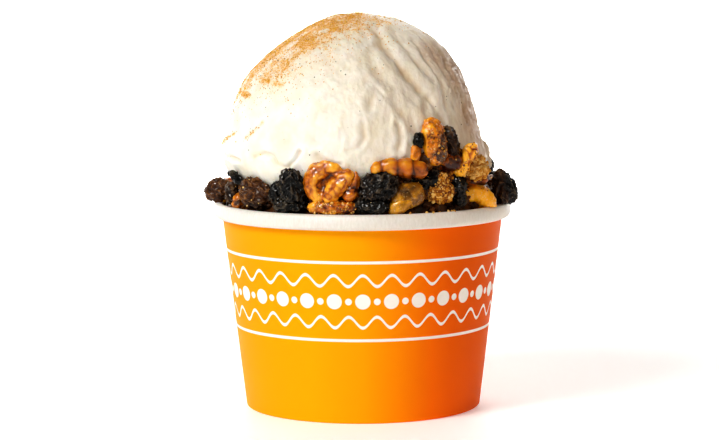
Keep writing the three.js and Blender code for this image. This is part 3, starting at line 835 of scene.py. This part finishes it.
def scoop_relief(ways):
    """What the scoop's surface adds to its smooth form, in millimetres."""
    shape = ways.shape[:-1]
    flat = ways.reshape(-1, 3)
    polar = np.degrees(np.arccos(np.clip(flat[:, 2], -1, 1)))
    azimuth = np.arctan2(flat[:, 1], flat[:, 0])
    wander = np.stack([layered(flat * 6, seed, 2) for seed in (61, 62, 63)], axis=1)
    strayed = unit(flat + 0.02 * wander)
    uneven = 1 + 0.5 * noise(flat * 7, 64)
    relief = np.zeros(len(flat))
    for route, half, depth in FURROWS:
        away = distance_to_route(strayed, route) / (1.08 * half * uneven)
        relief += 0.68 * depth * uneven * (0.4 * bell(away - 2.0, 1.0) - bell(away, 1.0))
    drag = round_axis(azimuth, 11, flat[:, 2] * 4.4) + 0.35 * wander
    shown_right = bell(angle_from(flat, -56, 58), 32)
    dragged = 0.9 * noise(drag, 65) + 0.3 * ridged(drag * 1.9, 66) ** 2
    relief += (0.06 + 0.16 * shown_right) * (dragged - 0.1) * smoothstep(polar, 26, 56)
    relief += 0.34 * layered(flat * (6, 6, 4), 12, 3) + 0.12 * layered(flat * (20, 20, 13), 14, 2)
    torn = torn_on(flat)
    broken = flat + 0.05 * np.stack([noise(flat * 9, seed) for seed in (21, 22, 23)], axis=1)
    shards = 0.9 * ridged(broken * (18, 18, 5), 24) ** 3 - 0.5 * ridged(broken * (38, 38, 12), 25) ** 2
    relief += torn * shards
    flap, flap_half, flap_height = FLAP
    from_flap = distance_to_route(flat + 0.05 * wander, flap) / flap_half
    relief += flap_height * (0.8 + 0.7 * noise(flat * 13, 67)) * (1 - smoothstep(from_flap, 0.4, 1.4))
    relief += 0.08 * noise(flat * 46, 13)
    return (relief * (1 - smoothstep(polar, 100, 108))).reshape(shape), torn


def scoop(finish):
    """The scoop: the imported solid's form, with its facets blurred away and the real surface on it."""
    tree = tree_of("scoop")
    ways = scoop_ways()
    centre = Vector(SCOOP_CENTRE)
    reach = np.array([[tree.ray_cast(centre, Vector(way))[3] for way in row] for row in ways])
    relief, torn = scoop_relief(ways)
    reach = blurred(reach, 60, 36) + relief
    corners = (SCOOP_CENTRE + ways * reach[..., None]).reshape(-1, 3)
    crown = SCOOP_CENTRE + (0, 0, reach[0].mean())
    base = SCOOP_CENTRE - (0, 0, reach[-1].mean())
    corners = np.concatenate([corners, [crown, base]])
    marks = {"dust": np.append(dust_on(ways), [0.8, 0])}
    for label, values in {"torn": torn, "crest": relief, "melt": melt_and_shade_on(ways)}.items():
        marks[label] = np.append(values, [0, 0])
    faces = ring_faces(*ways.shape[:2], ends=True)
    piece("scoop_cream", corners, faces, finish, ["scoop"], marks)
    return ways, reach


# Grains and crumbs


def ball(level):
    """Corners and triangles of a ball: an octahedron for level 0, and else an icosahedron split further."""
    made = bmesh.new()
    if level == 0:
        bmesh.ops.create_uvsphere(made, u_segments=4, v_segments=2, radius=1)
    else:
        bmesh.ops.create_icosphere(made, subdivisions=level, radius=1)
    corners = np.array([corner.co[:] for corner in made.verts])
    faces = np.array([[corner.index for corner in face.verts] for face in made.faces])
    made.free()
    return corners, faces


def turned_at_random(random, count):
    """Rotation matrices, one for each grain."""
    first = unit(random.normal(size=(count, 3)))
    second = unit(np.cross(first, unit(random.normal(size=(count, 3)))))
    return np.stack([first, second, np.cross(first, second)], axis=1)


def grains(places, sizes, level, random, lumpy=0.25, flat=0.7):
    """Uneven little lumps as one mesh: corners, faces and a random shade for each."""
    corners, faces = ball(level)
    count = len(places)
    lumps = noise((corners[None] * 1.3 + random.uniform(0, 90, (count, 1, 3))).reshape(-1, 3), 41)
    girths = [np.ones(count), random.uniform(flat, 1, count), random.uniform(flat, 1, count)]
    shape = corners[None] * (1 + lumpy * lumps.reshape(count, -1, 1)) * np.stack(girths, axis=1)[:, None]
    spun = np.einsum("nij,nkj->nki", turned_at_random(random, count), shape)
    made = spun * np.asarray(sizes)[:, None, None] / 2 + places[:, None]
    offset = np.arange(count)[:, None, None] * len(corners)
    shade = np.repeat(random.uniform(0, 1, count), len(corners))
    return made.reshape(-1, 3), (faces[None] + offset).reshape(-1, 3).tolist(), shade


def on_scoop(kept, ways, reach, lift):
    """Places on the finished scoop along some directions."""
    rows, columns = reach.shape
    polar = np.degrees(np.arccos(np.clip(kept[:, 2], -1, 1)))
    row_polar = np.degrees(np.arccos(np.clip(ways[:, 0, 2], -1, 1)))
    row = np.clip(np.searchsorted(row_polar, polar), 0, rows - 1)
    azimuth = np.arctan2(kept[:, 1], kept[:, 0])
    column_azimuth = np.arctan2(ways[rows // 2, :, 1], ways[rows // 2, :, 0])
    order = np.argsort(column_azimuth)
    column = order[np.clip(np.searchsorted(column_azimuth[order], azimuth), 0, columns - 1)]
    return SCOOP_CENTRE + kept * (reach[row, column] + lift)[:, None]


def cinnamon_grains(finish, ways, reach):
    """Loose cinnamon on the scoop, thickest where the dust is."""
    random = np.random.default_rng(7)
    wanted = 11000
    tries = unit(random.normal(size=(300000, 3)))
    tries = tries[tries[:, 2] > -0.1]
    chance = dust_on(tries) ** 1.7 * (0.35 + 0.65 * smoothstep(layered(tries * 26, 33, 2), -0.2, 0.5))
    kept = tries[random.uniform(0, 1, len(tries)) < chance][:wanted]
    places = on_scoop(kept, ways, reach, 0.02)
    sizes = 0.16 + 0.52 * random.uniform(0, 1, len(kept)) ** 2
    corners, faces, shade = grains(places, sizes, 0, random, flat=0.5)
    piece("cinnamon_dust", corners, faces, finish, marks={"shade": shade})


def vanilla_seeds(finish, ways, reach):
    """Dark specks in the ice cream."""
    random = np.random.default_rng(19)
    tries = unit(random.normal(size=(420, 3)))
    kept = tries[(tries[:, 2] > -0.25) & (tries[:, 2] < 0.95)]
    places = on_scoop(kept, ways, reach, -0.04)
    sizes = random.uniform(0.18, 0.56, len(kept))
    corners, faces, _ = grains(places, sizes, 1, random, flat=0.5)
    piece("vanilla_seeds", corners, faces, finish)


# Toppings


def lengthwise(points, stretch):
    """The points turned to the piece's own long axis, and drawn out along it."""
    centred = points - points.mean(0)
    axes = np.linalg.svd(centred[:: max(1, len(points) // 2000)], full_matrices=False)[2]
    return (centred @ axes.T) * (stretch, 1, 1)


def warped(points, lump, amount, seed):
    return points + amount * np.stack([noise(points / lump, seed + i) for i in (1, 2, 3)], axis=1)


def raisin_relief(points, seed):
    """Long wrinkles with sharp crests over shallow dents."""
    along = warped(lengthwise(points, 0.6), 2.6, 1.1, seed)
    broad = ridged(along / 2.0, seed + 4) ** 1.8
    fine = ridged(along / 0.85, seed + 5) ** 1.8
    dents = noise(points / 4.2, seed + 6)
    relief = 0.85 * broad + 0.68 * fine + 0.5 * dents
    return relief - relief.mean(), np.clip(broad * 0.45 + fine * 0.6 + 0.2 * dents, 0, 1)


def walnut_relief(points, seed):
    """Fat round folds parted by sharp grooves, with faint veins."""
    along = warped(points, 4.2, 1.3, seed)
    folds = np.abs(noise(along / 3.3, seed + 4)) ** 0.6
    veins = np.abs(noise(warped(points, 1.8, 0.6, seed + 7) / 1.4, seed + 5)) ** 0.7
    relief = 0.85 * folds + 0.36 * veins
    return relief - relief.mean(), np.clip(folds * 0.85 + veins * 0.5, 0, 1)


def apple_relief(points, seed):
    """Cooked, sunken flesh with soft ridges."""
    soft = layered(points / 4.0, seed + 1, 2)
    folds = np.abs(noise(warped(points, 3.5, 1.2, seed) / 2.6, seed + 5)) ** 0.7
    pits = np.abs(noise(points / 1.2, seed + 6)) ** 0.7
    relief = 0.4 * soft + 0.5 * folds + 0.28 * pits
    return relief - relief.mean(), np.clip(0.2 + 0.4 * soft + 0.5 * folds + 0.3 * pits, 0, 1)


def crumble_relief(points, seed):
    """Grains baked together."""
    knobs = np.abs(noise(points / 1.5, seed + 1)) ** 0.8
    fine = np.abs(noise(points / 0.7, seed + 2))
    relief = 0.9 * knobs + 0.35 * fine
    return relief - relief.mean(), np.clip(knobs + 0.3 * fine, 0, 1)


# Each relief also gives crest shading from 0 to 1: lighter on ridges and knobs, darker in grooves, painted
# light and shade.
RELIEF = {
    "raisin": raisin_relief, "walnut": walnut_relief, "apple": apple_relief, "crumble": crumble_relief,
}

# What sets a topping apart from its kind: its shift to a lighter or darker shade, how deep its relief is,
# how far it's softened, how much syrup swells it in mm, the way its darker side faces and how dark that
# painted shade is, how wide the gaps are that a web of skin closes in mm, how dark the painted shade in its
# grooves is, where beads in a row along it end, and its finish if that isn't its kind's.
PLAIN = {"shift": 0.0, "relief": 1.0, "soften": 40, "swell": 0.15, "darkened": None, "side_shade": 0.5, "web": 0.0,
         "groove": 0.5, "beads": None, "finish": None}
# Painted light: the high shifts of apple_bright, walnut_right and crumble_right lighten them as if lit.
TOUCHES = {
    "raisin_brown": {"shift": 0.8, "relief": 0.8, "darkened": (0.3, 0, -1)},
    "raisin_right": {"shift": 0.35, "relief": 0.7, "soften": 8, "swell": 0.0, "darkened": (2.2, 0, 0.4)},
    "raisin_behind": {"shift": 0.4, "relief": 0.9},
    "raisin_far_left": {"shift": 0.75, "relief": 0.7},
    "raisin_low_left": {"shift": 0.3},
    "raisin_centre": {"shift": 0.14, "relief": 1.1},
    "walnut_curled": {"shift": 0.15, "relief": 0.55, "swell": 0.3, "web": 0.7, "soften": 10},
    "walnut_long": {"shift": -0.06, "relief": 0.45, "swell": 0.3, "beads": (0, 0.19, 0.47, 0.74, 1),
                    "darkened": (0.9, 0, -1.0), "side_shade": 0.3, "groove": 0.4},
    "walnut_right": {"shift": 0.6, "relief": 1.2, "swell": 0.0, "soften": 14, "groove": 0.8, "web": 1.0,
                     "darkened": (1.2, 0, -0.2)},
    "walnut_fold": {"shift": -0.15, "relief": 0.6},
    "walnut_low": {"shift": 0.05, "relief": 0.6, "darkened": (0.6, 0, -0.4)},
    "walnut_brown": {"shift": -0.25, "relief": 0.5},
    "walnut_gap": {"shift": -0.4},
    "apple_bright": {"shift": 0.95, "relief": 1.2, "swell": 0.2, "groove": 0.9, "darkened": (0.1, 0, -1.5),
                     "side_shade": 0.5},
    "apple_standing": {"shift": 0.15, "relief": 0.8, "darkened": (1, 0, -0.45)},
    "apple_olive": {"shift": 0.02, "relief": 0.3, "groove": 0.1, "finish": "stewed"},
    "apple_low": {"shift": 0.25, "relief": 0.4, "groove": 0.2, "finish": "stewed"},
    "apple_small": {"shift": 0.05},
    "crumble_heap": {"shift": -0.3, "relief": 1.0, "swell": -0.6},
    "crumble_right": {"shift": 0.62, "darkened": (0.3, 0, -1.3), "side_shade": 0.5},
}


def topping(node, finishes, seed):
    """A nut, fruit or crumble piece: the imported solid, softened, with its kind's relief."""
    kind = node.split("_")[0]
    hidden = "_back_" in node
    touch = {**PLAIN, **TOUCHES.get(node, {})}
    finish = finishes[touch["finish"] or kind]
    softening = touch["soften"] // (2 if hidden else 1)
    corners, normals, faces = fine_solid(node, 0.4 if hidden else 0.27, softening, touch["web"])
    relief, crest = RELIEF[kind](corners, seed * 10)
    if touch["beads"]:
        share = (corners[:, 0] - corners[:, 0].min()) / np.ptp(corners[:, 0]) + 0.02 * noise(corners / 3, 8)
        bead = np.abs(np.sin(np.pi * np.interp(share, touch["beads"], range(len(touch["beads"]))))) ** 0.5
        relief = relief + 0.9 * (bead - 0.8)
        # Painted light and shade: each bead lighter in its middle and darker at its waists.
        crest = np.clip(bead * 0.8 + 0.2 * crest, 0, 1)
    low, high = corners.min(0), corners.max(0)
    girth = np.sort(high - low)[1]
    depth = touch["relief"] * min(1.0, girth / 7)
    corners = corners + normals * (relief * depth + touch["swell"])[:, None]
    # Painted shade: corners below the surface round them, in grooves, are darker, proud corners lighter.
    proud = proudness(corners, normals, faces, 60)
    crest = np.clip(crest * 0.75 + 0.12 + touch["groove"] * (proud - np.median(proud)), 0, 1)
    shift = np.full(len(corners), touch["shift"])
    # Painted shade: the piece darkens towards one side, mostly its bottom or its right, away from the key.
    if touch["darkened"]:
        towards = ((corners - (low + high) / 2) / (high - low) * 2) @ np.array(touch["darkened"])
        shift -= touch["side_shade"] * smoothstep(towards + 0.4 * noise(corners / 2.5, seed + 9), 0.0, 0.9)
    marks = {"crest": crest, "shift": shift}
    if kind == "crumble":
        # On crumble pieces the shade follows the crest shading and the darker side: painted light and shade.
        marks["shade"] = np.clip(crest * 0.6 + 0.14 + shift, 0, 1)
    piece(f"{node}_real", corners, faces, finish, [node], marks)
    return corners, normals, faces


def spread_over(surface, count, random, facing=None):
    """Places spread evenly over a surface, or over the part of it that faces one way."""
    corners, normals, faces = surface
    quads = np.array([face[:3] for face in faces])
    first, second, third = (corners[quads[:, i]] for i in range(3))
    area = np.linalg.norm(np.cross(second - first, third - first), axis=1)
    if facing is not None:
        area = np.where(normals[quads[:, 0]] @ unit(np.array(facing, dtype=float)) > 0.25, area, 0)
    chosen = random.choice(len(quads), count, p=area / area.sum())
    share = random.uniform(0, 1, (count, 2))
    share = np.where(share.sum(1, keepdims=True) > 1, 1 - share, share)
    a, b, c = (corners[quads[chosen, i]] for i in range(3))
    return a + share[:, :1] * (b - a) + share[:, 1:] * (c - a)


# Loose bits

# How high the syrupy bits climb round the scoop: azimuth and height.
HEAP_LINE = [
    (-180, 72), (-150, 71), (-118, 72), (-104, 73.5), (-88, 73), (-76, 79), (-62, 83), (-46, 81), (-30, 77),
    (-14, 72), (30, 73), (90, 74), (150, 73), (180, 72),
]


def syrup_bits(finish):
    """Bits of nut and fruit in syrup that fill the gaps between the toppings, the scoop and the rim."""
    random = np.random.default_rng(11)
    cream, cobbler = tree_of("scoop"), tree_of("filling")
    all_round, shown_heap = 160, 130
    behind = all_round + shown_heap
    azimuth = np.concatenate([random.uniform(-180, 180, all_round), random.uniform(-90, -28, shown_heap)])
    top = np.interp(azimuth, *np.array(HEAP_LINE).T)
    lowest = 65.0
    height = lowest + (top - lowest) * random.uniform(0, 1, behind) ** 0.7
    outside, within_rim, missed = 60.0, 42.8, 99.0
    places = []
    for turn, level in zip(azimuth, height):
        inward = -direction(turn, 90)
        start = -inward * outside + (0, 0, level)
        away = min(tree.ray_cast(Vector(start), Vector(inward))[3] or missed for tree in (cream, cobbler))
        places.append(start + inward * max(away - 0.4, outside - within_rim))
    in_front = 130
    azimuth = np.radians(random.uniform(-180, 180, in_front))
    radius = random.uniform(40.5, 43.2, in_front)
    for x, y, _ in round_axis(azimuth, radius):
        places.append(np.array((x, y, top_below(cobbler, x, y) + 0.3)))
    sizes = np.concatenate([random.uniform(2.4, 4.0, behind), random.uniform(1.2, 2.8, in_front)])
    corners, faces, shade = grains(np.array(places), sizes, 3, random, lumpy=0.55, flat=0.6)
    crest = 0.5 + 0.5 * noise(corners / 1.3, 43)
    marks = {"crest": crest, "shade": shade}
    piece("syrup_bits", corners, faces, finish, marks=marks)


# Filling


def filling(finish):
    """The cobbler's dark top round the scoop, closed below."""
    tree = tree_of("filling")
    edge = wall_radius(CUP_HEIGHT - ROLL_HEIGHT) - PAPER - FILLING_GAP
    radii = np.linspace(FILLING_INNER, edge, FILLING_ROWS)
    azimuth = np.linspace(0, 2 * np.pi, FILLING_COLUMNS, endpoint=False)
    places = round_axis(azimuth, radii[:, None])
    height = np.array([[top_below(tree, x, y) for x, y, _ in row] for row in places])
    for row in range(1, FILLING_ROWS):
        missed = np.isnan(height[row])
        height[row, missed] = height[row - 1, missed]
    height = blurred(height, 60, 8)
    flat = round_axis(azimuth, radii[:, None], height).reshape(-1, 3)
    lumps = np.abs(noise(flat / 3.2, 51)) ** 0.8
    fine = np.abs(noise(flat / 1.4, 52))
    outside = smoothstep(np.hypot(flat[:, 0] - SCOOP_CENTRE[0], flat[:, 1]), 33, 37)
    relief = (1.1 * lumps + 0.45 * fine - 0.45) * outside
    top = flat + relief[:, None] * (0, 0, 1)
    # Painted light and shade: lighter on the lumps, darker between them.
    crest = np.clip(lumps + 0.4 * fine, 0, 1)
    low = 50.0
    narrow = wall_radius(low) - PAPER - FILLING_GAP
    corners = np.concatenate([top, round_axis(azimuth, narrow, low), [(0, 0, height[0].mean()), (0, 0, low)]])
    crest = np.append(crest, np.zeros(FILLING_COLUMNS + 2))
    marks = {"crest": crest, "shade": np.full(len(corners), 0.5)}
    faces = [face[::-1] for face in ring_faces(FILLING_ROWS + 1, FILLING_COLUMNS, ends=True)]
    piece("cobbler_syrup", corners, faces, finish, ["filling"], marks)


# Assembly


def build_tub():
    tub_wall(printed_paper())
    paper = plain_paper()
    tub_rim(paper)
    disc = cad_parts["cup_floor"]
    disc.data.materials.clear()
    disc.data.materials.append(paper)


def build_scoop():
    ways, reach = scoop(ice_cream())
    cinnamon_grains(cinnamon(), ways, reach)
    vanilla_seeds(vanilla_seed(), ways, reach)


# Crumbs on each kind of topping or on one of them: how many, their sizes in mm, their lightest and darkest
# shade, and the side of the topping that they lie on.
CRUMBS = {
    "crumble": (120, (0.6, 1.4), (0.25, 1.0), None),
    "crumble_front": (330, (0.4, 1.2), (0.2, 1.0), (0, -1, 0)),
    "crumble_right": (220, (0.4, 1.2), (0.6, 1.0), (0, -1, 0.7)),
    "crumble_heap": (160, (0.5, 1.1), (0.0, 0.7), (0, -1, 0)),
    "raisin": (2, (0.2, 0.35), (0.8, 1.0), (0, 0, 1)),
    "raisin_brown": (9, (0.25, 0.7), (0.9, 1.0), (0, -1, 0.4)),
    "walnut": (8, (0.25, 0.6), (0.3, 1.0), (0, 0, 1)),
    "walnut_low": (90, (0.4, 0.9), (0.3, 1.0), (0, -1, 0)),
    "apple": (8, (0.25, 0.6), (0.2, 1.0), (0, 0, 1)),
    "apple_standing": (70, (0.3, 0.9), (0.15, 0.95), (1, -0.5, 0)),
    "walnut_right": (40, (0.3, 0.9), (0.1, 1.0), (1, -0.7, 0)),
}


def rim_crumbs(random):
    """Places of the pale crumbs that lie on the rim in front of the crumble."""
    count = 22
    radius = random.uniform(44.7, 46.8, count)
    from_middle = (radius - RIM_RADIUS) / (ROLL_WIDTH / 2) + 1
    height = CUP_HEIGHT - ROLL_HEIGHT / 2 * (1 - np.sqrt(1 - from_middle**2))
    places = direction(random.uniform(-72, -52, count), 90) * radius[:, None]
    places[:, 2] = height + 0.15
    return places


def build_toppings():
    finishes = {
        "raisin": raisin_skin(),
        "walnut": glaze(
            "glazed_walnut", (62, 20, 2), (190, 100, 6), (252, 180, 44), 2.4,
            subsurface_weight=0.12, subsurface_scale=0.8 * MM,
        ),
        "apple": glaze(
            "glazed_apple", (74, 36, 3), (208, 118, 4), (255, 176, 18), 3.0, pale=0.5,
            subsurface_weight=0.35, subsurface_radius=(1.0, 0.5, 0.1), subsurface_scale=1.6 * MM,
        ),
        "stewed": glaze(
            "stewed_apple", (52, 32, 5), (138, 90, 14), (222, 158, 26), 3.6, pale=0.35,
            subsurface_weight=0.35, subsurface_radius=(1.0, 0.6, 0.1), subsurface_scale=1.6 * MM,
        ),
        "crumble": toasted_crumb(),
    }
    random = np.random.default_rng(5)
    places, sizes, shades = [], [], []
    for seed, node in enumerate(sorted(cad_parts)):
        kind = node.split("_")[0]
        if kind not in RELIEF:
            continue
        surface = topping(node, finishes, seed)
        count, size, shade, facing = CRUMBS.get(node, CRUMBS[kind])
        places.append(spread_over(surface, count, random, facing))
        sizes.append(random.uniform(*size, count))
        shades.append(random.uniform(*shade, count))
    places.append(rim_crumbs(random))
    sizes.append(random.uniform(0.25, 0.9, len(places[-1])))
    shades.append(random.uniform(0.5, 1.0, len(places[-1])))
    places, sizes, shades = (np.concatenate(values) for values in (places, sizes, shades))
    corners, faces, _ = grains(places, sizes, 2, random, lumpy=0.45)
    shade = np.repeat(shades, len(corners) // len(shades))
    piece("loose_crumbs", corners, faces, finishes["crumble"], marks={"shade": shade})


def build_filling():
    syrup = dark_syrup()
    filling(syrup)
    syrup_bits(syrup)


# Stage, light and camera


def stage():
    """Pale floor that sweeps up into a backdrop well behind the object."""
    half_width, front, height = 4.0, -6.0, 3.0
    bend, bend_start = 0.6, 1.0
    turn = np.radians(np.linspace(0, 90, 13))
    swept = [(bend_start + bend * math.sin(a), bend * (1 - math.cos(a))) for a in turn]
    profile = [(front, 0.0), *swept, (bend_start + bend, height)]
    corners = [(x, y, z) for y, z in profile for x in (-half_width, half_width)]
    faces = [(2 * i, 2 * i + 1, 2 * i + 3, 2 * i + 2) for i in range(len(profile) - 1)]
    mesh = bpy.data.meshes.new("floor")
    mesh.from_pydata(corners, [], faces)
    mesh.shade_smooth()
    mesh.materials.append(pale_floor())
    floor = bpy.data.objects.new("floor", mesh)
    bpy.context.scene.collection.objects.link(floor)


def soft_box(name, place, target, size, power, colour, diffuse=True):
    """A lamp that faces a place. Without diffuse, it only makes highlights."""
    light = bpy.data.lights.new(name, "AREA")
    light.shape = "RECTANGLE"
    light.size, light.size_y = size
    light.energy = power
    light.color = colour
    made = bpy.data.objects.new(name, light)
    made.location = place
    made.rotation_euler = (Vector(target) - Vector(place)).to_track_quat("-Z", "Y").to_euler()
    made.visible_camera = False
    made.visible_diffuse = diffuse
    bpy.context.scene.collection.objects.link(made)
    return light


def light_stage():
    middle = (0, 0, 0.08)
    soft_box("key", (-0.8, -0.75, 0.9), middle, (0.45, 0.45), 12.5, (1.0, 0.985, 0.96))
    soft_box("spark", (-0.45, -0.95, 0.75), middle, (0.1, 0.1), 11.0, (1.0, 0.98, 0.94), diffuse=False)
    soft_box("fill", (0.9, -0.6, 0.35), middle, (0.8, 0.8), 1.6, (1.0, 0.66, 0.4))
    backdrop = soft_box("backdrop", (0, 0.6, 1.6), (0, 1.5, 0.1), (2.4, 0.5), 34.0, (1.0, 1.0, 1.0))
    backdrop.spread = math.radians(90)
    world = bpy.data.worlds.new("studio")
    bpy.context.scene.world = world
    world.use_nodes = True
    background = world.node_tree.nodes["Background"]
    background.inputs["Color"].default_value = (1.0, 0.93, 0.85, 1.0)
    background.inputs["Strength"].default_value = 0.12
    bpy.context.scene.view_settings.view_transform = "Standard"
    bpy.context.scene.view_settings.look = "Medium High Contrast"


def camera():
    data = bpy.data.cameras.new("camera")
    data.sensor_width = 36.0
    data.lens = CAMERA_FOCAL_PIXELS / PHOTO_WIDTH * data.sensor_width
    data.clip_end = 50.0
    made = bpy.data.objects.new("camera", data)
    made.location = (CAMERA_SIDE * MM, -CAMERA_AWAY * MM, CAMERA_HEIGHT * MM)
    made.rotation_euler = (math.pi / 2 - CAMERA_PITCH, CAMERA_ROLL, 0)
    bpy.context.scene.collection.objects.link(made)
    bpy.context.scene.camera = made


camera()
light_stage()
stage()
build_tub()
build_scoop()
build_filling()
build_toppings()
